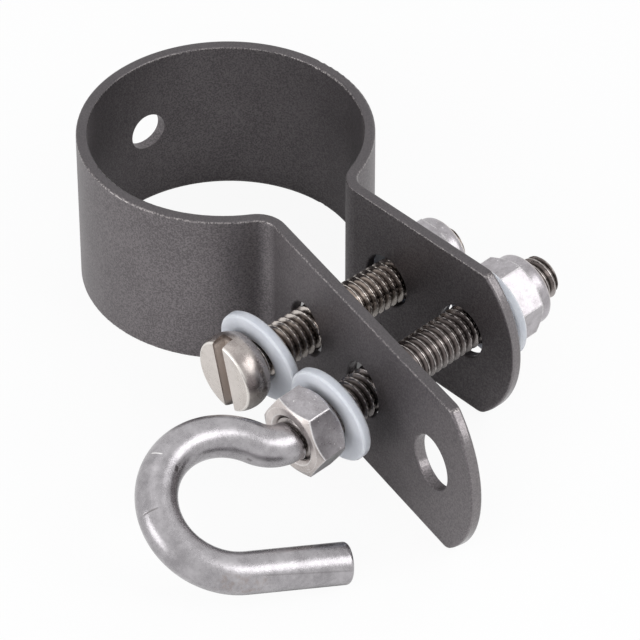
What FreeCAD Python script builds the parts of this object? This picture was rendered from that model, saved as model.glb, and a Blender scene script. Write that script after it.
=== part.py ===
import FreeCAD, Part
import math
import os

# Fence tension bar clamp: a bent steel strip that grips a round post, with two ears drawn
# together by a slotted screw and by a hook bolt. Millimetres, +Z up along the post.
# The origin lies on the post axis, at the middle of the strip's width. +X points out between
# the ears, the long ear is on the -Y side and the short ear on the +Y side.

# Strip, band and ears
strip_width = 30.4
strip_thick = 2.0
post_radius = 24.0
bend_radius = 3.5
ear_splay = 6.0
ear_half_gap = 4.5
long_ear_reach = 90.4
short_ear_reach = 66.75
ear_end_radius = 19.2
ear_corner_round = 2.5
strip_edge_round = 0.5
hole_edge_bevel = 0.2

# Holes, placed along each ear from the foot of the post axis, the last one in from the ear's end
ear_hole_radius = 4.9
hole_pitch = 18.4
long_ear_first_hole = 38.0
short_ear_first_hole = 35.8
end_hole_margin = 12.6
wall_hole_radius = 3.5

# Threaded stock shared by the screw and the hook bolt
thread_radius = 3.97
bar_radius = 3.55
thread_end_chamfer = 0.6
thread_clearance = 0.12

# How each loose fastener lies in its pair of holes: its shift along each ear and its rise there
screw_long_ear_shift = -0.5
screw_long_ear_rise = -0.55
screw_short_ear_shift = 0.75
screw_short_ear_rise = 0.25
hook_long_ear_shift = 0.0
hook_long_ear_rise = -0.58
hook_short_ear_shift = 0.0
hook_short_ear_rise = 0.58

# Slotted screw. Stations run along the fastener from the long ear toward the short ear
screw_head_station = -18.8
screw_head_height = 5.3
screw_face_radius = 6.4
screw_head_radius = 6.95
screw_base_radius = 6.05
screw_widest_depth = 2.35
screw_face_round = 0.2
slot_width = 2.65
slot_depth = 2.5
slot_turn = 78.5
screw_end_station = 32.4

# Hook bolt
hook_end_station = 41.4
hook_thread_start = -17.4
hook_lean = 25.7
neck_bend_radius = 6.7
neck_turn = 58.0
hook_bend_radius = 12.4
tip_spread = 27.3
tip_run = 17.5
tip_round = 0.7

# Nylon washers. The two in front hang loose: each swings along the ears and leans downward
washer_radius = 8.85
washer_thick = 1.8
washer_clearance = 0.3
washer_edge_bevel = 0.3
screw_washer_station = -11.62
screw_washer_swing = -4.6
screw_washer_lean = -6.6
screw_rear_washer_station = 20.45
hook_washer_station = -9.25
hook_washer_swing = -0.5
hook_washer_lean = -4.8
hook_rear_washer_station = 27.0

# Nuts
nut_across_flats = 13.0
nut_bevel_angle = 30.0
nut_bevel_inset = 0.4
nut_mouth_bevel = 0.7
plain_nut_height = 6.4
plain_nut_station = -17.3
plain_nut_turn = 2.0
plain_nut_rear_bevel_angle = 40.0
lock_nut_height = 8.4
lock_nut_hex_height = 6.0
lock_collar_radius = 6.5
lock_collar_round = 1.3
lock_lip_radius = 4.9
lock_lip_thick = 0.5
insert_radius = 5.2
insert_thick = 2.0
insert_clearance = 0.05
nut_to_washer_gap = 0.05
screw_lock_nut_turn = 10.0
hook_lock_nut_turn = -17.0

V = FreeCAD.Vector
UP = V(0, 0, 1)
half_width = strip_width / 2.0
splay = math.radians(ear_splay)
LONG = -1
SHORT = 1


def ear_point(side, reach, offset, height=0.0):
    """A point on one ear, from its distance along the ear and its offset across the gap."""
    x = reach * math.cos(splay) - offset * math.sin(splay)
    y = side * (reach * math.sin(splay) + offset * math.cos(splay))
    return V(x, y, height)


def ear_normal(side):
    """Direction square to one ear, pointing away from the gap."""
    return V(-math.sin(splay), side * math.cos(splay), 0)


def arc(start, middle, end):
    """One circular edge through three points."""
    return Part.Arc(start, middle, end).toShape()


def ear_outline(side, reach):
    """Plan points of one ear and its bend, for the face on the gap and the outer face."""
    bend_offset = ear_half_gap + strip_thick + bend_radius
    bend_distance = post_radius + strip_thick + bend_radius
    bend_reach = math.sqrt(bend_distance ** 2 - bend_offset ** 2)
    centre = ear_point(side, bend_reach, bend_offset)
    inward = -ear_normal(side)
    toward_post = V(-centre.x, -centre.y, 0).normalize()
    halfway = (inward + toward_post).normalize()
    outline = {}
    for face, radius in (("gap", bend_radius + strip_thick), ("outer", bend_radius)):
        outline[face] = {
            "ring": centre + toward_post * radius,
            "mid": centre + halfway * radius,
            "root": centre + inward * radius,
            "end": ear_point(side, reach, bend_offset - radius),
        }
    return outline


def strip_solid():
    """The bent strip with square ends: ring, two bends and two straight ears in one outline."""
    long_ear = ear_outline(LONG, long_ear_reach)
    short_ear = ear_outline(SHORT, short_ear_reach)
    edges = []
    for face, radius in (("gap", post_radius), ("outer", post_radius + strip_thick)):
        a = long_ear[face]
        b = short_ear[face]
        edges.append(Part.makeLine(a["end"], a["root"]))
        edges.append(arc(a["root"], a["mid"], a["ring"]))
        edges.append(arc(a["ring"], V(-radius, 0, 0), b["ring"]))
        edges.append(arc(b["ring"], b["mid"], b["root"]))
        edges.append(Part.makeLine(b["root"], b["end"]))
    for ear in (long_ear, short_ear):
        edges.append(Part.makeLine(ear["gap"]["end"], ear["outer"]["end"]))
    wire = Part.Wire(Part.__sortEdges__(edges))
    strip = Part.Face(wire).extrude(V(0, 0, strip_width))
    strip.translate(V(0, 0, -half_width))
    return strip


def ear_frame(side, reach):
    """Placement with local x along the ear, y out through its thickness from the gap face."""
    along = V(math.cos(splay), side * math.sin(splay), 0)
    out = ear_normal(side)
    turn = FreeCAD.Rotation(along, out, along.cross(out), "XYZ")
    return FreeCAD.Placement(ear_point(side, reach, ear_half_gap), turn)


def end_trim(side, reach):
    """What is cut away beyond the round end of one ear."""
    over = strip_thick
    depth = strip_thick + 2 * over
    block = Part.makeBox(ear_end_radius, depth, strip_width + 2 * over)
    block.translate(V(-ear_end_radius + over, -over, -half_width - over))
    disc = Part.makeCylinder(ear_end_radius, depth, V(-ear_end_radius, -over, 0), V(0, 1, 0))
    trim = block.cut(disc)
    trim.Placement = ear_frame(side, reach)
    return trim


def ear_hole(side, reach):
    """A round drill through one ear."""
    base = ear_point(side, reach, ear_half_gap - strip_thick)
    return Part.makeCylinder(ear_hole_radius, 3 * strip_thick, base, ear_normal(side))


def across_strip(edge):
    """Whether an edge is a short straight one that runs through the strip's thickness."""
    return len(edge.Vertexes) == 2 and abs(edge.Length - strip_thick) < 0.01 * strip_thick


def circle_edges(shape, radius):
    """Circular hole edges of one radius."""
    found = []
    for edge in shape.Edges:
        box = edge.BoundBox
        if abs(box.ZMin + radius) < 0.01 * radius and abs(box.ZMax - radius) < 0.01 * radius:
            found.append(edge)
    return found


def band_node():
    """Ring, bends and ears, with round ear ends, holes and broken edges."""
    band = strip_solid()
    for side, reach in ((LONG, long_ear_reach), (SHORT, short_ear_reach)):
        band = band.cut(end_trim(side, reach))
    band = band.makeFillet(ear_corner_round, [edge for edge in band.Edges if across_strip(edge)])
    band = band.makeFillet(strip_edge_round, [edge for edge in band.Edges if not across_strip(edge)])
    drills = [ear_hole(LONG, long_ear_reach - end_hole_margin)]
    for side, first in ((LONG, long_ear_first_hole), (SHORT, short_ear_first_hole)):
        for step in range(2):
            drills.append(ear_hole(side, first + step * hole_pitch))
    wall_base = V(-post_radius - 2 * strip_thick, 0, 0)
    drills.append(Part.makeCylinder(wall_hole_radius, 3 * strip_thick, wall_base, V(1, 0, 0)))
    band = band.cut(Part.makeCompound(drills))
    return band.makeChamfer(hole_edge_bevel, circle_edges(band, ear_hole_radius))


def fastener_frame(hole_index, long_slack, short_slack):
    """Placement with local z along a fastener, local x along the ears and local y downward."""
    rows = (
        (LONG, long_ear_first_hole, long_slack),
        (SHORT, short_ear_first_hole, short_slack),
    )
    ends = []
    for side, first, slack in rows:
        reach = first + hole_index * hole_pitch + slack[0]
        ends.append(ear_point(side, reach, ear_half_gap + strip_thick / 2.0, slack[1]))
    axis = (ends[1] - ends[0]).normalize()
    across = axis.cross(UP).normalize()
    turn = FreeCAD.Rotation(across, axis.cross(across), axis, "ZXY")
    return FreeCAD.Placement(ends[0], turn)


def placed(shape, frame):
    """A copy of a shape moved into a fastener's frame."""
    moved = shape.copy()
    moved.Placement = frame.multiply(moved.Placement)
    return moved


def turned(points):
    """A solid turned about local z from (radius, station) corners."""
    corners = [V(r, 0, z) for r, z in points]
    wire = Part.makePolygon(corners + corners[:1])
    return Part.Face(wire).revolve(V(0, 0, 0), UP, 360)


def end_circles(shape, station, radius):
    """Circular edges of a turned piece at one station and radius."""
    found = []
    for edge in shape.Edges:
        box = edge.BoundBox
        level = abs(box.ZMin - station) < 1e-4 and abs(box.ZMax - station) < 1e-4
        if level and abs(box.XMax - radius) < 1e-3 and abs(box.XMin + radius) < 1e-3:
            found.append(edge)
    return found


def threaded_stock(start, end):
    """Plain stand-in for a threaded length, widening from the bar and bevelled at its far end."""
    inner = thread_radius - thread_end_chamfer
    full = start + thread_radius - bar_radius
    shoulder = end - thread_end_chamfer
    return turned([
        (0, start), (bar_radius, start), (thread_radius, full),
        (thread_radius, shoulder), (inner, end), (0, end),
    ])


def bulged_side(widest, end_radius, end):
    """Round side of the head, from where it is widest to one of its ends."""
    bulge = screw_head_radius - end_radius
    depth = end - widest
    curve_radius = (bulge ** 2 + depth ** 2) / (2 * bulge)
    centre = screw_head_radius - curve_radius
    halfway = math.atan2(depth, end_radius - centre) / 2.0
    middle = V(centre + curve_radius * math.cos(halfway), 0, widest + curve_radius * math.sin(halfway))
    return arc(V(screw_head_radius, 0, widest), middle, V(end_radius, 0, end))


def screw_head():
    """Flat face with a crisp edge, and a side that bulges out and draws in again below."""
    face = screw_head_station
    base = face + screw_head_height
    widest = face + screw_widest_depth
    edges = [
        Part.makeLine(V(0, 0, face), V(screw_face_radius, 0, face)),
        bulged_side(widest, screw_face_radius, face),
        bulged_side(widest, screw_base_radius, base),
        Part.makeLine(V(screw_base_radius, 0, base), V(0, 0, base)),
        Part.makeLine(V(0, 0, base), V(0, 0, face)),
    ]
    profile = Part.Face(Part.Wire(Part.__sortEdges__(edges)))
    head = profile.revolve(V(0, 0, 0), UP, 360)
    return head.makeFillet(screw_face_round, end_circles(head, face, screw_face_radius))


def screw_node():
    """Slotted screw: round-sided head, one straight slot and the threaded shank."""
    face = screw_head_station
    slot = Part.makeBox(4 * screw_head_radius, slot_width, 2 * slot_depth)
    slot.translate(V(-2 * screw_head_radius, -slot_width / 2.0, face - slot_depth))
    slot.rotate(V(0, 0, 0), UP, slot_turn)
    shank = threaded_stock(face + screw_head_height, screw_end_station)
    return screw_head().cut(slot).fuse(shank).removeSplitter()


def hook_path():
    """Centre line of the bent bar in (station, drop) terms: neck bend, hook bend, straight tip."""
    neck = math.radians(neck_turn)
    spread = math.radians(tip_spread)
    start = (hook_thread_start, 0.0)
    neck_centre = (hook_thread_start, -neck_bend_radius)
    reach = neck_bend_radius + hook_bend_radius
    bend_centre = (neck_centre[0] - reach * math.sin(neck), neck_centre[1] + reach * math.cos(neck))

    def on_neck(angle):
        return (
            neck_centre[0] - neck_bend_radius * math.sin(angle),
            neck_centre[1] + neck_bend_radius * math.cos(angle),
        )

    def on_bend(angle):
        return (
            bend_centre[0] - hook_bend_radius * math.sin(angle),
            bend_centre[1] + hook_bend_radius * math.cos(angle),
        )

    join = on_neck(neck)
    first = neck - math.pi
    leave = on_bend(spread)
    tip = (leave[0] + tip_run * math.cos(spread), leave[1] + tip_run * math.sin(spread))
    return {
        "start": start,
        "neck": on_neck(neck / 2.0),
        "join": join,
        "bend": on_bend(first / 2.0 + spread / 2.0 + math.pi),
        "leave": leave,
        "tip": tip,
    }


def hook_node():
    """Hook bolt: threaded length, bent bar and plain straight tip in one piece."""
    flat = hook_path()
    lean = math.radians(hook_lean)
    path = {}
    for name, (station, drop) in flat.items():
        path[name] = V(drop * math.cos(lean), drop * math.sin(lean), station)
    edges = [
        arc(path["start"], path["neck"], path["join"]),
        arc(path["join"], path["bend"], path["leave"]),
        Part.makeLine(path["leave"], path["tip"]),
    ]
    section = Part.Wire(Part.makeCircle(bar_radius, path["start"], UP))
    bar = Part.Wire(edges).makePipeShell([section], True, False)
    tip_edges = [edge for edge in bar.Edges if (edge.CenterOfMass - path["tip"]).Length < 0.01]
    bar = bar.makeFillet(tip_round, tip_edges)
    return bar.fuse(threaded_stock(hook_thread_start, hook_end_station))


def washer_node(station, swing=0.0, lean=0.0):
    """Flat nylon washer on the thread, with its outer edges broken, tilted about its middle."""
    bore = thread_radius + washer_clearance
    half = washer_thick / 2.0
    ring = turned([(bore, -half), (washer_radius, -half), (washer_radius, half), (bore, half)])
    edges = end_circles(ring, -half, washer_radius) + end_circles(ring, half, washer_radius)
    ring = ring.makeChamfer(washer_edge_bevel, edges)
    facing = V(math.tan(math.radians(swing)), math.tan(math.radians(lean)), 1)
    ring.Placement = FreeCAD.Placement(V(0, 0, station + half), FreeCAD.Rotation(UP, facing))
    return ring


def hexagon(start, height, turn):
    """Hexagonal prism about local z."""
    corner = nut_across_flats / math.sqrt(3)
    points = []
    for index in range(7):
        angle = math.radians(turn + 60 * index)
        points.append(V(corner * math.cos(angle), corner * math.sin(angle), start))
    return Part.Face(Part.makePolygon(points)).extrude(V(0, 0, height))


def bevel_envelope(start, end, start_angle, end_angle):
    """Turned body that bevels the corners of a hexagon at both faces."""
    corner = nut_across_flats / math.sqrt(3) + nut_bevel_inset
    face = nut_across_flats / 2.0 - nut_bevel_inset
    start_fall = (corner - face) * math.tan(math.radians(start_angle))
    end_fall = (corner - face) * math.tan(math.radians(end_angle))
    return turned([
        (0, start), (face, start), (corner, start + start_fall),
        (corner, end - end_fall), (face, end), (0, end),
    ])


def plain_nut_node():
    """Hexagon nut, its corners bevelled and its bore opened at both faces."""
    start = plain_nut_station
    end = start + plain_nut_height
    envelope = bevel_envelope(start, end, nut_bevel_angle, plain_nut_rear_bevel_angle)
    bore = thread_radius + thread_clearance
    mouth = bore + nut_mouth_bevel
    hollow = turned([
        (0, start), (mouth, start), (bore, start + nut_mouth_bevel),
        (bore, end - nut_mouth_bevel), (mouth, end), (0, end),
    ])
    return hexagon(start, plain_nut_height, plain_nut_turn).common(envelope).cut(hollow)


def lock_nut_nodes(washer_station, turn):
    """Lock nut with a round collar, and the nylon ring that the collar holds."""
    start = washer_station + washer_thick + nut_to_washer_gap
    shoulder = start + lock_nut_hex_height
    end = start + lock_nut_height
    bore = thread_radius + thread_clearance
    envelope = bevel_envelope(start, shoulder, nut_bevel_angle, nut_bevel_angle)
    hexagonal = hexagon(start, lock_nut_hex_height, turn).common(envelope)
    collar = Part.makeCylinder(lock_collar_radius, end - start, V(0, 0, start))
    collar = collar.makeFillet(lock_collar_round, end_circles(collar, end, lock_collar_radius))
    lip = end - lock_lip_thick
    seat = lip - insert_thick
    hollow = turned([
        (0, start), (bore + nut_mouth_bevel, start), (bore, start + nut_mouth_bevel),
        (bore, seat), (insert_radius, seat), (insert_radius, lip),
        (lock_lip_radius, lip), (lock_lip_radius, end), (0, end),
    ])
    nut = hexagonal.fuse(collar).cut(hollow)
    low = seat + insert_clearance
    high = lip - insert_clearance
    rim = insert_radius - insert_clearance
    insert = turned([(bore, low), (rim, low), (rim, high), (bore, high)])
    return nut, insert


screw_frame = fastener_frame(
    0,
    (screw_long_ear_shift, screw_long_ear_rise),
    (screw_short_ear_shift, screw_short_ear_rise),
)
hook_frame = fastener_frame(
    1,
    (hook_long_ear_shift, hook_long_ear_rise),
    (hook_short_ear_shift, hook_short_ear_rise),
)
screw_lock_nut, screw_insert = lock_nut_nodes(screw_rear_washer_station, screw_lock_nut_turn)
hook_lock_nut, hook_insert = lock_nut_nodes(hook_rear_washer_station, hook_lock_nut_turn)

nodes = {
    "clamp_band": band_node(),
    "slotted_screw": placed(screw_node(), screw_frame),
    "screw_washer": placed(
        washer_node(screw_washer_station, screw_washer_swing, screw_washer_lean), screw_frame
    ),
    "screw_rear_washer": placed(washer_node(screw_rear_washer_station), screw_frame),
    "screw_lock_nut": placed(screw_lock_nut, screw_frame),
    "screw_lock_nut_insert": placed(screw_insert, screw_frame),
    "hook_bolt": placed(hook_node(), hook_frame),
    "hook_nut": placed(plain_nut_node(), hook_frame),
    "hook_washer": placed(
        washer_node(hook_washer_station, hook_washer_swing, hook_washer_lean), hook_frame
    ),
    "hook_rear_washer": placed(washer_node(hook_rear_washer_station), hook_frame),
    "hook_lock_nut": placed(hook_lock_nut, hook_frame),
    "hook_lock_nut_insert": placed(hook_insert, hook_frame),
}

os.makedirs("parts", exist_ok=True)
for name, shape in nodes.items():
    shape.exportStep("parts/" + name + ".step")
    box = shape.BoundBox
    spans = [round(length, 2) for length in (box.XLength, box.YLength, box.ZLength)]
    print(name, len(shape.Solids), shape.isValid(), spans, round(shape.Volume, 1))
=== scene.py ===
import math

import bmesh
import bpy
from mathutils import Matrix, Vector


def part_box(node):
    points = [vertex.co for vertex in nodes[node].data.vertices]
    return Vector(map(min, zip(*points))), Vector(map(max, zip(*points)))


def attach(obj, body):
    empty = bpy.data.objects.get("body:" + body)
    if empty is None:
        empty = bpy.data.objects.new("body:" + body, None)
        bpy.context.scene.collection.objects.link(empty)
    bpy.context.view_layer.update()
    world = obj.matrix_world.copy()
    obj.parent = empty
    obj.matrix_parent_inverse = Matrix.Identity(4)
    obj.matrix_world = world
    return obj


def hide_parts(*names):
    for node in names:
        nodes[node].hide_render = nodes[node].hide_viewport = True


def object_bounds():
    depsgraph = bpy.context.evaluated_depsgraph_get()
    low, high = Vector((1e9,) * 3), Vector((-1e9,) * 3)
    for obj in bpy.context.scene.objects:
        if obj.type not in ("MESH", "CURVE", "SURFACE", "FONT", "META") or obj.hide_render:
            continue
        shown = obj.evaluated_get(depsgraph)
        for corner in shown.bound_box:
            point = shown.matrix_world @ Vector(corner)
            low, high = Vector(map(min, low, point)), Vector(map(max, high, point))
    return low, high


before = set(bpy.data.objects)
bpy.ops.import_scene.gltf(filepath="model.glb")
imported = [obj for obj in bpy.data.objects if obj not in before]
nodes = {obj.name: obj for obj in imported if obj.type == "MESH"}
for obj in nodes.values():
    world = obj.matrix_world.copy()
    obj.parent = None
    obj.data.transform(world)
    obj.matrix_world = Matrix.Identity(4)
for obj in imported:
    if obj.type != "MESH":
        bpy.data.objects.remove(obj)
cad_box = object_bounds()


# Clamp band: one steel strip, blanked, drilled and bent into a ring with two ears.
# It is sprayed with an anthracite powder coat with fine mica flakes, which leaves a faint
# orange-peel skin on the flats.
# The rims get their own darker colour, with a painted highlight along their rounded edges, and the
# ear ends get a painted glint.

mm_per_metre = 1000.0


class Wire:
    """A socket in a material. Arithmetic on it adds Math nodes, and make adds any other node."""

    def __init__(self, tree, socket=None):
        self.tree = tree
        self.socket = socket

    def make(self, kind, settings=None, sockets=None, out=0):
        node = self.tree.nodes.new("ShaderNode" + kind)
        for name, value in (settings or {}).items():
            setattr(node, name, value)
        for name, value in (sockets or {}).items():
            if isinstance(value, Wire):
                self.tree.links.new(value.socket, node.inputs[name])
            else:
                node.inputs[name].default_value = value
        return Wire(self.tree, node.outputs[out])

    def math(self, operation, first, second=0.0):
        return self.make("Math", {"operation": operation}, {0: first, 1: second})

    def __add__(self, other):
        return self.math("ADD", self, other)

    def __sub__(self, other):
        return self.math("SUBTRACT", self, other)

    def __mul__(self, other):
        return self.math("MULTIPLY", self, other)

    def __truediv__(self, other):
        return self.math("DIVIDE", self, other)

    def __pow__(self, other):
        return self.math("POWER", self, other)

    def __radd__(self, other):
        return self.math("ADD", other, self)

    def __rsub__(self, other):
        return self.math("SUBTRACT", other, self)

    def __rmul__(self, other):
        return self.math("MULTIPLY", other, self)

    def __rtruediv__(self, other):
        return self.math("DIVIDE", other, self)

    def __abs__(self):
        return self.math("ABSOLUTE", self)

    def wave(self):
        return self.math("SINE", self)

    def rise(self, low, high):
        """0 below low, 1 above high, smooth between; falls instead where low is the larger."""
        return self.make("MapRange", {"interpolation_type": "SMOOTHSTEP"},
                         {"Value": self, "From Min": low, "From Max": high})

    def along(self, direction):
        """This vector's length along one direction."""
        return self.make("VectorMath", {"operation": "DOT_PRODUCT"}, {0: self, 1: direction},
                         "Value")

    def shifted(self, offset):
        return self.make("VectorMath", {"operation": "ADD"}, {0: self, 1: offset})

    def stretched(self, factors):
        return self.make("VectorMath", {"operation": "MULTIPLY"}, {0: self, 1: factors})

    def noise(self, scale, detail=2.0, roughness=0.5):
        return self.make("TexNoise", sockets={"Vector": self, "Scale": scale, "Detail": detail,
                                              "Roughness": roughness})

    def cells(self, scale):
        """Random grey of the grain that this point lies in."""
        grains = self.make("TexVoronoi", sockets={"Vector": self, "Scale": scale}, out="Color")
        return self.make("SeparateColor", sockets={"Color": grains})

    def tint(self, low, high):
        """A colour between two, by this factor."""
        return self.make("Mix", {"data_type": "RGBA"}, {0: self, 6: low, 7: high}, 2)

    def facing(self):
        """The way the flat face at this point looks."""
        return self.make("NewGeometry", out="True Normal")

    def softened(self, edge_mm):
        """The way the surface looks at this point if its hard edges are rounded."""
        return self.make("Bevel", {"samples": 6}, {"Radius": edge_mm / mm_per_metre})


def colour(red, green, blue):
    """A shader colour from sRGB values of 0 to 255."""
    linear = []
    for level in (red, green, blue):
        share = level / 255.0
        linear.append(share / 12.92 if share <= 0.04045 else ((share + 0.055) / 1.055) ** 2.4)
    return (*linear, 1.0)


def surface(name, **constants):
    """A new material, its shader with constant sockets set, and its object coordinates in mm."""
    material = bpy.data.materials.new(name)
    material.use_nodes = True
    shader = material.node_tree.nodes["Principled BSDF"]
    for socket, value in constants.items():
        shader.inputs[socket.replace("_", " ")].default_value = value
    pen = Wire(material.node_tree)
    place = pen.make("TexCoord", out="Object").stretched((mm_per_metre, mm_per_metre, mm_per_metre))
    return material, shader, place


def paint(shader, **links):
    """Feeds wires into the shader's sockets."""
    for socket, wire in links.items():
        wire.tree.links.new(wire.socket, shader.inputs[socket.replace("_", " ")])


def relief(height, depth_mm, edge_mm=0.0):
    """A normal from a height in 0 to 1 over depth_mm, with hard edges softened by edge_mm."""
    sockets = {"Height": height, "Distance": depth_mm / mm_per_metre, "Strength": 1.0}
    if edge_mm:
        sockets["Normal"] = height.softened(edge_mm)
    return height.make("Bump", sockets=sockets)


def dress(piece, material):
    """Gives a piece its finish."""
    piece.data.materials.clear()
    piece.data.materials.append(material)


half_strip_mm = mm_per_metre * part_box("clamp_band")[1].z
ear_start_mm = 40.0
coat_dark = colour(90, 86, 88)
coat_light = colour(122, 117, 119)
ear_end_glint_colour = colour(140, 136, 137)
rim_coat = colour(80, 77, 79)
rim_edge_highlight_colour = colour(158, 153, 152)

band_coat, shader, place = surface("anthracite_coat", Specular_IOR_Level=0.5)
height = abs(place.along((0.0, 0.0, 1.0)))
rim = height.rise(half_strip_mm - 0.5, half_strip_mm - 0.1)
rounding = height.rise(half_strip_mm - 0.6, half_strip_mm - 0.45)
# Painted highlight: the rims' rounded edges get a lighter, speckled colour in place of the lamp's
# reflection.
rim_edge_highlight = rounding * height.rise(half_strip_mm - 0.12, half_strip_mm - 0.3)
on_ears = place.along((1.0, 0.0, 0.0)).rise(ear_start_mm, ear_start_mm + 5.0)
# Painted highlight: the ear ends and hole walls facing along the ears get a lighter colour in place
# of a glint.
ear_end = place.facing().along((1.0, 0.0, 0.0)).rise(0.45, 0.8) * on_ears
grain = place.noise(3.3, 1.0, 0.6)
flake = place.cells(4.4)
cloud = place.noise(0.12, 3.0)
tone = (grain * 0.8 + flake * 0.2 + cloud * 0.2).rise(0.42, 0.8)
flat_coat = tone.tint(coat_dark, coat_light)
coat_rims_and_end_glint = (rim * 0.6).tint((ear_end * 0.4).tint(flat_coat, ear_end_glint_colour), rim_coat)
paint(
    shader,
    Base_Color=(rim_edge_highlight * grain.rise(0.4, 0.7)).tint(coat_rims_and_end_glint, rim_edge_highlight_colour),
    Roughness=0.42 + 0.1 * grain - 0.16 * rim_edge_highlight - 0.25 * ear_end,
    Metallic=0.72 + 0.2 * flake,
    Normal=relief(grain * 0.6 + flake * 0.25 + place.noise(0.9) * 0.6, 0.016),
)
dress(nodes["clamp_band"], band_coat)


# Slotted screw: a turned stainless head, round at its side, with a milled slot and a rolled thread.
# It hangs loose in the first pair of ear holes, so its axis leans across the splayed ears.
# The axis runs through the middles of the two nylon washers that sit on it.

screw_washer_middle = -0.01072
screw_head_station = -0.0188
screw_head_height = 0.0053
screw_face_radius = 0.0064
screw_head_radius = 0.00695
screw_base_radius = 0.00605
screw_widest_depth = 0.00235
screw_face_round = 0.0002
face_ring_shares = (0.3, 0.6, 0.9, 1.0)
face_round_shares = ((0.62, 0.18), (1.08, 0.62))
head_side_steps = 12
screw_end_station = 0.0324
screw_sharp_angle = 32.0
slot_width = 0.00265
slot_depth = 0.0025
slot_turn = math.radians(78.5)
bar_radius = 0.00355
thread_radius = 0.00397
thread_pitch = 0.001411
thread_depth = 0.00086
crest_end_share = 0.07
root_start_share = 0.41
thread_end_chamfer = 0.0006
points_per_ring = 72
rings_per_pitch = 20


def middle(node):
    low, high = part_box(node)
    return (low + high) / 2.0


def fastener_frame(front_washer, front_station, rear_washer):
    """Matrix with local z along a fastener, local x along the ears and local y downward."""
    axis = (middle(rear_washer) - middle(front_washer)).normalized()
    across = axis.cross(Vector((0.0, 0.0, 1.0))).normalized()
    down = axis.cross(across)
    turn = Matrix((across, down, axis)).transposed().to_4x4()
    return Matrix.Translation(middle(front_washer) - axis * front_station) @ turn


def thread_reach(station, angle):
    """Share of the thread's depth at a point, 0 on the narrow flat crest and 1 in the root."""
    phase = (station / thread_pitch - angle / (2.0 * math.pi)) % 1.0
    away = (abs(phase - 0.5) - crest_end_share) / (root_start_share - crest_end_share)
    return min(1.0, max(0.0, away))


def ring_angles():
    return [2.0 * math.pi * step / points_per_ring for step in range(points_per_ring)]


def thread_rings(start, end):
    """Rings of a rolled thread that widens from the bar at one station to its bevelled end."""
    count = int(round((end - start) / thread_pitch * rings_per_pitch))
    rings = []
    for index in range(count + 1):
        station = start + (end - start) * index / count
        run_in = bar_radius + station - start
        run_out = thread_radius - thread_end_chamfer + end - station
        ring = []
        for angle in ring_angles():
            crest = thread_radius - thread_depth * thread_reach(station, angle)
            radius = min(crest, run_in, run_out)
            ring.append(Vector((radius * math.cos(angle), radius * math.sin(angle), station)))
        rings.append(ring)
    return rings


def round_ring(radius, station):
    """One plain ring about local z."""
    return [Vector((radius * math.cos(angle), radius * math.sin(angle), station))
            for angle in ring_angles()]


def scene_object(name, data):
    """A new object in the scene, from mesh, lamp or camera data."""
    made = bpy.data.objects.new(name, data)
    bpy.context.scene.collection.objects.link(made)
    return made


def mesh_object(name, solid):
    """A new object in the scene, from a bmesh that is then freed."""
    mesh = bpy.data.meshes.new(name)
    solid.to_mesh(mesh)
    solid.free()
    return scene_object(name, mesh)


def ring_mesh(name, rings, placing):
    """A closed mesh over rings of equal counts, capped with a fan at both ends."""
    solid = bmesh.new()
    rows = [[solid.verts.new(placing @ point) for point in ring] for ring in rings]
    for near, far in zip(rows, rows[1:]):
        for step in range(points_per_ring):
            after = (step + 1) % points_per_ring
            solid.faces.new((near[step], near[after], far[after], far[step]))
    for row in (rows[0], rows[-1]):
        centre = solid.verts.new(sum((vertex.co for vertex in row), Vector()) / len(row))
        for step in range(points_per_ring):
            solid.faces.new((row[step], row[(step + 1) % points_per_ring], centre))
    bmesh.ops.recalc_face_normals(solid, faces=solid.faces)
    return mesh_object(name, solid)


def smooth_by_angle(piece, limit):
    """Smooth shading that keeps edges of more than limit degrees crisp."""
    piece.data.shade_smooth()
    piece.data.set_sharp_from_angle(angle=math.radians(limit))


def head_side(end_radius, end):
    """Radii and stations down the head's round side, from one of its ends to where it is widest."""
    widest = screw_head_station + screw_widest_depth
    bulge = screw_head_radius - end_radius
    depth = end - widest
    curve = (bulge ** 2 + depth ** 2) / (2.0 * bulge)
    centre = screw_head_radius - curve
    whole = math.atan2(depth, end_radius - centre)
    points = []
    for index in range(head_side_steps + 1):
        angle = whole * (1.0 - index / head_side_steps)
        points.append((centre + curve * math.cos(angle), widest + curve * math.sin(angle)))
    return points


def screw_head_rings():
    """Rings of the head: flat face, a crisp edge, the round side and the flat underside."""
    face = screw_head_station
    base = face + screw_head_height
    flat = screw_face_radius - screw_face_round
    rings = [round_ring(flat * share, face) for share in face_ring_shares]
    for outward, inward in face_round_shares:
        rings.append(round_ring(flat + outward * screw_face_round,
                                face + inward * screw_face_round))
    upper_side = head_side(screw_face_radius, face)[1:]
    lower_side = head_side(screw_base_radius, base)[-2::-1]
    rings += [round_ring(radius, station) for radius, station in upper_side + lower_side]
    rings.append(round_ring((screw_base_radius + bar_radius) / 2.0, base))
    return rings


def cut_away(piece, tool):
    """Cuts one closed mesh out of another and deletes the tool."""
    cut = piece.modifiers.new("cut", "BOOLEAN")
    cut.operation = "DIFFERENCE"
    cut.solver = "EXACT"
    cut.object = tool
    with bpy.context.temp_override(object=piece, active_object=piece, selected_objects=[piece]):
        bpy.ops.object.modifier_apply(modifier=cut.name)
    bpy.data.objects.remove(tool)


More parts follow.
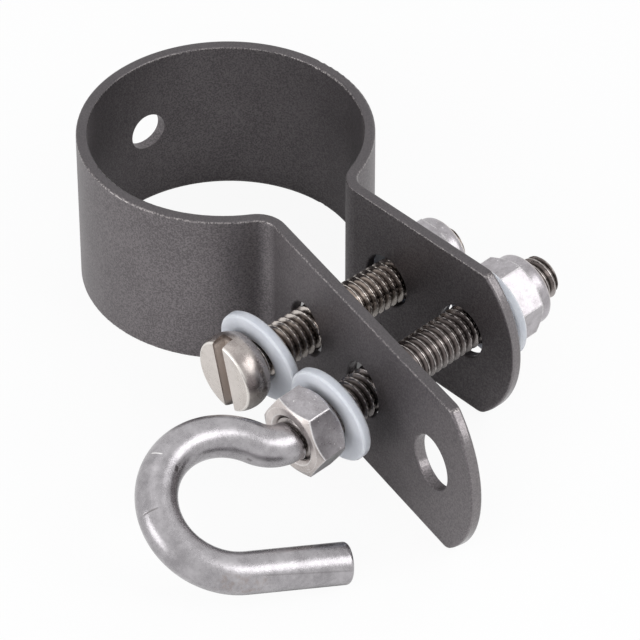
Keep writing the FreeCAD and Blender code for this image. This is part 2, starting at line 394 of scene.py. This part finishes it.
screw_frame = fastener_frame("screw_washer", screw_washer_middle, "screw_rear_washer")
shank_start = screw_head_station + screw_head_height
screw = ring_mesh(
    "slotted_screw_threaded",
    screw_head_rings() + thread_rings(shank_start, screw_end_station),
    screw_frame,
)
slot_solid = bmesh.new()
bmesh.ops.create_cube(slot_solid, size=1.0)
slot_size = Matrix.Diagonal((4.0 * screw_head_radius, slot_width, 2.0 * slot_depth, 1.0))
slot_turned = Matrix.Rotation(slot_turn, 4, "Z") @ slot_size
slot_solid.transform(screw_frame @ Matrix.Translation((0.0, 0.0, screw_head_station)) @ slot_turned)
cut_away(screw, mesh_object("slot", slot_solid))
smooth_by_angle(screw, screw_sharp_angle)


def local_axes(place, placing):
    """Local x, y and z in mm of a fastener, from object coordinates in mm."""
    inverse = placing.inverted()
    return [place.along(tuple(row[:3])) + row[3] * mm_per_metre for row in inverse[:3]]


thread_mm = mm_per_metre * thread_radius
face_mm = mm_per_metre * screw_face_radius
head_mm = mm_per_metre * screw_head_radius
half_slot_mm = mm_per_metre * slot_width / 2.0
shank_mm = mm_per_metre * shank_start
head_side_dark = colour(150, 142, 139)
head_side_light = colour(184, 177, 173)
face_dark = colour(194, 187, 182)
face_light = colour(214, 207, 202)
face_edge_highlight = colour(230, 225, 220)
slot_brown = colour(176, 164, 156)
screw_crest = colour(202, 194, 188)
screw_root_shade = colour(84, 74, 68)

screw_steel, shader, place = surface("screw_steel")
local_x, local_y, local_z = local_axes(place, screw_frame)
radius = (local_x * local_x + local_y * local_y) ** 0.5
in_head = local_z.rise(shank_mm + 0.1, shank_mm)
# Painted shade: the thread roots are darkened in place of the shade between the flanks.
root = radius.rise(thread_mm - 0.37, thread_mm - 0.77) * (1.0 - in_head)
below_face = local_z - mm_per_metre * screw_head_station
on_face = below_face.rise(0.3, 0.1)
# Painted highlight: a bright line round the edge of the head's flat face.
face_edge = radius.rise(face_mm - 0.28, face_mm - 0.12) * below_face.rise(0.45, 0.2)
slot_side = abs(local_y * math.cos(slot_turn) - local_x * math.sin(slot_turn))
# The slot's walls get a browner, less metallic colour.
in_slot = slot_side.rise(half_slot_mm + 0.175, half_slot_mm + 0.035) * below_face.rise(0.05, 0.4)
slot_wall = in_slot * radius.rise(head_mm - 0.45, head_mm - 1.35) * in_head
turning = (radius * 26.0 + place.noise(0.9) * 5.0).wave()
cloud = place.noise(0.55, 4.0, 0.6)
speck = place.noise(4.5, 2.0)
mottle = (cloud * 0.6 + speck * 0.4).rise(0.3, 0.72)
side_steel = mottle.tint(head_side_dark, head_side_light)
head_steel = on_face.tint(side_steel, mottle.tint(face_dark, face_light))
with_edge_highlight = face_edge.tint(head_steel, face_edge_highlight)
crested = in_head.tint(screw_crest, slot_wall.tint(with_edge_highlight, slot_brown))
paint(
    shader,
    Base_Color=(root * 0.85).tint(crested, screw_root_shade),
    Roughness=0.14 + 0.08 * in_head + 0.12 * cloud + 0.25 * slot_wall,
    Metallic=1.0 - 0.75 * slot_wall,
    Normal=relief(turning * 0.1 * in_head + speck * 0.9 + cloud * 0.6, 0.018),
)
dress(screw, screw_steel)
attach(screw, "root")
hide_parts("slotted_screw")


# Hook bolt: a drawn stainless bar, thread rolled on one half, the other half bent cold into an
# S neck and a round hook whose cut end points back at the band. The bending dies left marks.
# It hangs loose in the second pair of ear holes, on the line through its two washers.

hook_washer_middle = -0.00835
hook_thread_start = -0.0174
hook_end_station = 0.0414
hook_lean = math.radians(25.7)
neck_bend_radius = 0.0067
neck_turn = math.radians(58.0)
hook_bend_radius = 0.0124
tip_spread = math.radians(27.3)
tip_run = 0.0175
tip_round = 0.0007
tip_round_steps = 6
tip_face_shares = (0.66, 0.33)
ring_step = 0.0004
hook_sharp_angle = 40.0


def hook_line():
    """Points and headings down the bent bar, as (station, drop), from the thread to the tip."""
    neck_centre = Vector((hook_thread_start, -neck_bend_radius))
    reach = neck_bend_radius + hook_bend_radius
    bend_centre = neck_centre + reach * Vector((-math.sin(neck_turn), math.cos(neck_turn)))
    line = []
    count = int(neck_bend_radius * neck_turn / ring_step)
    for index in range(1, count):
        angle = neck_turn * index / count
        out = Vector((-math.sin(angle), math.cos(angle)))
        ahead = Vector((-math.cos(angle), -math.sin(angle)))
        line.append((neck_centre + neck_bend_radius * out, ahead))
    first = neck_turn + math.pi
    sweep = first - tip_spread
    count = int(hook_bend_radius * sweep / ring_step)
    for index in range(count + 1):
        angle = first - sweep * index / count
        out = Vector((-math.sin(angle), math.cos(angle)))
        ahead = Vector((math.cos(angle), math.sin(angle)))
        line.append((bend_centre + hook_bend_radius * out, ahead))
    leave = line[-1][0]
    ahead = Vector((math.cos(tip_spread), math.sin(tip_spread)))
    straight = tip_run - tip_round
    count = int(straight / ring_step)
    for index in range(1, count + 1):
        line.append((leave + ahead * straight * index / count, ahead))
    return line


def bar_ring(point, heading, radius):
    """A ring round the bent bar, its points in step with those of the thread."""
    drop = Vector((math.cos(hook_lean), math.sin(hook_lean), 0.0))
    side = Vector((-math.sin(hook_lean), math.cos(hook_lean), 0.0))
    centre = drop * point.y + Vector((0.0, 0.0, point.x))
    ahead = (drop * heading.y + Vector((0.0, 0.0, heading.x))).normalized()
    level = ahead.cross(side)
    ring = []
    for angle in ring_angles():
        turned = angle - hook_lean
        ring.append(centre + radius * (math.cos(turned) * level + math.sin(turned) * side))
    return ring


def hook_rings():
    """Rings of the bent bar, from the middle of its cut end back to the thread."""
    line = hook_line()
    rings = [bar_ring(point, heading, bar_radius) for point, heading in line]
    tip, heading = line[-1]
    for index in range(1, tip_round_steps + 1):
        angle = math.pi / 2.0 * index / tip_round_steps
        forward = tip_round * math.sin(angle)
        narrowing = tip_round * (1.0 - math.cos(angle))
        rings.append(bar_ring(tip + heading * forward, heading, bar_radius - narrowing))
    for share in tip_face_shares:
        rings.append(bar_ring(tip + heading * tip_round, heading, (bar_radius - tip_round) * share))
    return rings[::-1]


hook_frame = fastener_frame("hook_washer", hook_washer_middle, "hook_rear_washer")
hook = ring_mesh(
    "hook_bolt_threaded",
    hook_rings() + thread_rings(hook_thread_start, hook_end_station),
    hook_frame,
)
smooth_by_angle(hook, hook_sharp_angle)


def mark(place, centre, heading, outward, length, width):
    """1 in a short stroke on a surface, by its centre in mm, its heading and the way outward."""
    heading = Vector(heading).normalized()
    outward = Vector(outward).normalized()
    across = heading.cross(outward).normalized()
    near = place.shifted(tuple(-value for value in centre))
    run = abs(near.along(tuple(heading)))
    off = abs(near.along(tuple(across)))
    deep = abs(near.along(tuple(outward)))
    stroke = run.rise(0.5 * length, 0.3 * length) * off.rise(0.5 * width, 0.2 * width)
    return stroke * deep.rise(2.5, 2.0)


thread_start_mm = mm_per_metre * hook_thread_start
bar_dark = colour(146, 143, 146)
bar_light = colour(184, 181, 184)
bar_stain = colour(136, 118, 108)
scratch_bright = colour(240, 238, 238)
dent_painted_shade = colour(70, 64, 62)
hook_crest = colour(164, 158, 156)
hook_root_shade = colour(76, 70, 67)

hook_steel, shader, place = surface("hook_steel", Metallic=1.0)
scratch = mark(place, (51.8, -51.75, 4.1), (1.67, 0.98, 0.54), (-0.12, -0.3, 0.9), 2.4, 0.34)
nick = mark(place, (55.39, -50.29, 2.55), (0.6, -0.7, -0.4), (0.777, 0.319, 0.542), 1.3, 1.0)
neck_nick = mark(place, (57.29, -37.2, -1.1), (0.6, 0.6, -0.5), (0.643, -0.743, -0.187), 1.1, 0.8)
die_step = mark(place, (59.2, -58.3, 0.32), (1.01, 1.67, 1.08), (0.16, -0.58, 0.73), 3.4, 0.42)
die_line = mark(place, (78.3, -41.05, -8.75), (5.23, 14.16, -2.94), (0.89, -0.16, 0.42), 20.0, 0.4)
stain_patch = mark(place, (75.0, -51.3, -8.2), (2.59, 5.27, -1.91), (0.9, -0.39, 0.17), 11.0, 5.0)
# Painted shade: the nicks and die marks are darkened in colour as well as dented in the bump.
dent = 0.7 * nick + 0.5 * neck_nick + 0.45 * die_step + 0.22 * die_line
local_x, local_y, local_z = local_axes(place, hook_frame)
radius = (local_x * local_x + local_y * local_y) ** 0.5
on_thread = local_z.rise(thread_start_mm, thread_start_mm + 0.2)
# Painted shade: the thread roots are darkened in place of the shade between the flanks.
root = radius.rise(thread_mm - 0.32, thread_mm - 0.77) * on_thread
cloud = place.noise(0.3, 4.0, 0.62)
streak = place.noise(1.6, 3.0, 0.7)
speck = place.noise(5.0, 2.0)
satin = (cloud * 0.6 + streak * 0.25 + speck * 0.15).rise(0.3, 0.7)
stain = stain_patch * place.noise(0.9, 3.0, 0.65).rise(0.46, 0.7)
stained = (stain * 0.4).tint(satin.tint(bar_dark, bar_light), bar_stain)
marked = dent.tint(scratch.tint(stained, scratch_bright), dent_painted_shade)
paint(
    shader,
    Base_Color=(root * 0.9).tint(on_thread.tint(marked, hook_crest), hook_root_shade),
    Roughness=0.2 + 0.1 * cloud + 0.06 * speck - 0.06 * on_thread,
    Normal=relief(streak * 0.6 + speck * 0.35 + cloud * 1.4 - dent * 2.0 - scratch, 0.03),
)
dress(hook, hook_steel)
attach(hook, "root")
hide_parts("hook_bolt")


# Nuts: one plain hexagon nut against the hook, and two lock nuts with a round collar that is
# crimped over a nylon ring. They are pressed and tapped stainless, bright on the turned ends,
# with the corners bevelled to a circle.

nut_flat_dark = colour(148, 144, 147)
nut_flat_light = colour(184, 180, 184)
nut_end_dark = colour(188, 180, 177)
nut_end_light = colour(214, 206, 203)
nut_speck_and_highlight_colour = colour(244, 242, 242)

nut_steel, shader, place = surface("nut_steel", Metallic=1.0)
facing = place.facing()
# Painted highlight: the edges between flats and bevels get a near-white colour in place of the
# lamp's glint; the bright pits on the flats share that colour.
nut_edge_highlight_mask = (1.0 - place.softened(0.4).along(facing)).rise(0.012, 0.06)
turned_end = abs(facing.along(tuple(hook_frame.to_3x3().col[2]))).rise(0.4, 0.75)
cloud = place.noise(0.45, 4.0, 0.6)
speck = place.noise(3.8, 3.0, 0.65)
brushing = place.stretched((1.0, 0.18, 1.0)).noise(4.2, 2.0)
mottle = (cloud * 0.6 + speck * 0.4).rise(0.32, 0.68)
pressed = mottle.tint(nut_flat_dark, nut_flat_light)
worked = turned_end.tint(pressed, mottle.tint(nut_end_dark, nut_end_light))
pit = place.noise(2.2, 1.0).rise(0.7, 0.76)
specks_and_edge_highlight = pit.math("MAXIMUM", pit * 0.7, nut_edge_highlight_mask * 0.85)
paint(
    shader,
    Base_Color=specks_and_edge_highlight.tint(worked, nut_speck_and_highlight_colour),
    Roughness=0.2 + 0.14 * cloud + 0.06 * brushing,
    Normal=relief(brushing * 0.4 + speck * 0.5 + cloud * 0.6 + pit * 0.5, 0.018, 0.5),
)
for nut in ("hook_nut", "screw_lock_nut", "hook_lock_nut"):
    dress(nodes[nut], nut_steel)


# Nylon washers and lock rings: four moulded washers and the two rings inside the lock nuts.
# The plain nylon is milky and lets some light through, with a slight blue cast.

nylon_dark = colour(187, 190, 197)
nylon_light = colour(197, 200, 206)

nylon, shader, place = surface(
    "milky_nylon", Subsurface_Weight=1.0, Subsurface_Scale=0.003, Subsurface_Radius=(1.0, 1.0, 1.0),
    IOR=1.53, Specular_IOR_Level=0.06,
)
cloud = place.noise(0.25, 3.0)
speck = place.noise(2.6, 2.0)
milk = (cloud * 0.7 + speck * 0.3).rise(0.3, 0.7)
paint(
    shader,
    Base_Color=milk.tint(nylon_dark, nylon_light),
    Roughness=0.44 + 0.12 * speck,
    Normal=relief(speck * 0.4 + cloud * 0.8, 0.015, 0.1),
)
for ring in ("screw_washer", "screw_rear_washer", "hook_washer", "hook_rear_washer",
             "screw_lock_nut_insert", "hook_lock_nut_insert"):
    dress(nodes[ring], nylon)


# Studio: a pale floor under the strip's lower edge, with a painted shadow between the ears and
# white around.
# Two soft boxes above and a low one at the left show in the metal. Three wide lamps only fill.
# A long lens looks down from the height at which the clamp is seen.

floor_half = 3.0
floor_z = cad_box[0][2]
floor_corners = [(-floor_half, -floor_half, floor_z), (floor_half, -floor_half, floor_z),
                 (floor_half, floor_half, floor_z), (-floor_half, floor_half, floor_z)]
ear_shade_middle = (0.0305, 0.001)
ear_shade_reach = (0.026, 0.0095)
paper_white = colour(240, 240, 240)
paper_shaded = colour(124, 124, 124)
glow_painted_shade = colour(112, 112, 112)
glow_open = colour(255, 255, 255)

floor_mesh = bpy.data.meshes.new("floor")
floor_mesh.from_pydata(floor_corners, [], [(0, 1, 2, 3)])
floor = scene_object("floor", floor_mesh)


def seen_directly(pen):
    """1 for rays from the camera and for mirrored and refracted ones, 0 for diffuse light."""
    seen = pen.make("LightPath", out="Is Camera Ray")
    for ray in ("Is Glossy Ray", "Is Transmission Ray"):
        seen = pen.math("MAXIMUM", seen, pen.make("LightPath", out=ray))
    return seen


floor_paper = bpy.data.materials.new("floor_paper")
floor_paper.use_nodes = True
tree = floor_paper.node_tree
pen = Wire(tree)
paper = tree.nodes["Principled BSDF"]
paper.inputs["Roughness"].default_value = 0.9
spot = pen.make("TexCoord", out="Object")
# Painted shadow: the floor between the ears gets a darker paper and less of the camera's white
# glow.
along_ears = (spot.along((1.0, 0.0, 0.0)) - ear_shade_middle[0]) / ear_shade_reach[0]
across_ears = (spot.along((0.0, 1.0, 0.0)) - ear_shade_middle[1]) / ear_shade_reach[1]
ear_shade = (along_ears * along_ears + across_ears * across_ears).rise(1.0, 0.1)
paint(paper, Base_Color=ear_shade.tint(paper_white, paper_shaded))
# Painted shade: in reflections the floor's glow goes grey where the clamp closes round it; the
# camera still sees it white.
sky_seen = pen.make("AmbientOcclusion", {"samples": 8}, {"Distance": 0.05}, "AO")
by_camera = pen.make("LightPath", out="Is Camera Ray")
openness = pen.math("MAXIMUM", sky_seen.rise(0.24, 0.58), by_camera)
glow = pen.make("Emission", sockets={"Color": openness.tint(glow_painted_shade, glow_open)})
glowing = seen_directly(pen) * (1.0 - by_camera * (0.08 + 0.82 * ear_shade))
mixed = pen.make("MixShader", sockets={0: glowing, 1: Wire(tree, paper.outputs[0]), 2: glow})
tree.links.new(mixed.socket, tree.nodes["Material Output"].inputs["Surface"])
floor_mesh.materials.append(floor_paper)

world = bpy.data.worlds.new("studio")
bpy.context.scene.world = world
world.use_nodes = True
tree = world.node_tree
pen = Wire(tree)
ambient = pen.make("Background", sockets={"Color": (0.93, 0.96, 1.0, 1.0), "Strength": 0.34})
white = pen.make("Background", sockets={"Color": (1.0, 1.0, 1.0, 1.0), "Strength": 1.0})
mixed = pen.make("MixShader", sockets={0: seen_directly(pen), 1: ambient, 2: white})
tree.links.new(mixed.socket, tree.nodes["World Output"].inputs["Surface"])

subject = (Vector(cad_box[0]) + Vector(cad_box[1])) / 2.0


def heading_to(azimuth, elevation):
    """Direction from the clamp toward a point in the studio; azimuth 0 is on the -Y side."""
    turn = math.radians(azimuth)
    lift = math.radians(elevation)
    level = math.cos(lift)
    return Vector((math.sin(turn) * level, -math.cos(turn) * level, math.sin(lift)))


def soft_box(name, azimuth, elevation, distance, width, height, power, mirrored=True):
    """A flat lamp turned toward the clamp, which shows in glossy surfaces only where mirrored."""
    lamp = bpy.data.lights.new(name, "AREA")
    lamp.shape = "RECTANGLE"
    lamp.size = width
    lamp.size_y = height
    lamp.energy = power
    box = scene_object(name, lamp)
    out = heading_to(azimuth, elevation)
    box.location = subject + out * distance
    box.rotation_euler = out.to_track_quat("Z", "Y").to_euler()
    box.visible_glossy = mirrored


def fill_lamp(name, azimuth, elevation, power):
    """A wide lamp that lightens the shades and shows in no metal."""
    soft_box(name, azimuth, elevation, distance=1.1, width=1.0, height=0.8, power=power,
             mirrored=False)


soft_box("key_box", 119.0, 41.0, distance=0.75, width=0.5, height=0.42, power=1.65)
soft_box("top_box", -60.0, 72.0, distance=0.8, width=0.5, height=0.5, power=0.3)
fill_lamp("front_box", 8.0, 20.0, power=5.0)
fill_lamp("fill_box", 48.0, 26.0, power=6.5)
fill_lamp("rear_box", 205.0, 25.0, power=5.0)
soft_box("left_box", -14.0, 11.0, distance=0.9, width=0.45, height=0.4, power=1.3)

camera_azimuth = 53.0
camera_elevation = 39.7
camera_distance = 0.78977
camera_aim = Vector((0.02089, 0.00476, -0.01642))
focal_length_mm = 253.1
sensor_width_mm = 36.0

optics = bpy.data.cameras.new("camera")
optics.lens = focal_length_mm
optics.sensor_width = sensor_width_mm
camera = scene_object("camera", optics)
camera.location = camera_aim + heading_to(camera_azimuth, camera_elevation) * camera_distance
camera.rotation_euler = (math.radians(90.0 - camera_elevation), 0.0, math.radians(camera_azimuth))
bpy.context.scene.camera = camera
bpy.context.scene.view_settings.view_transform = "Standard"
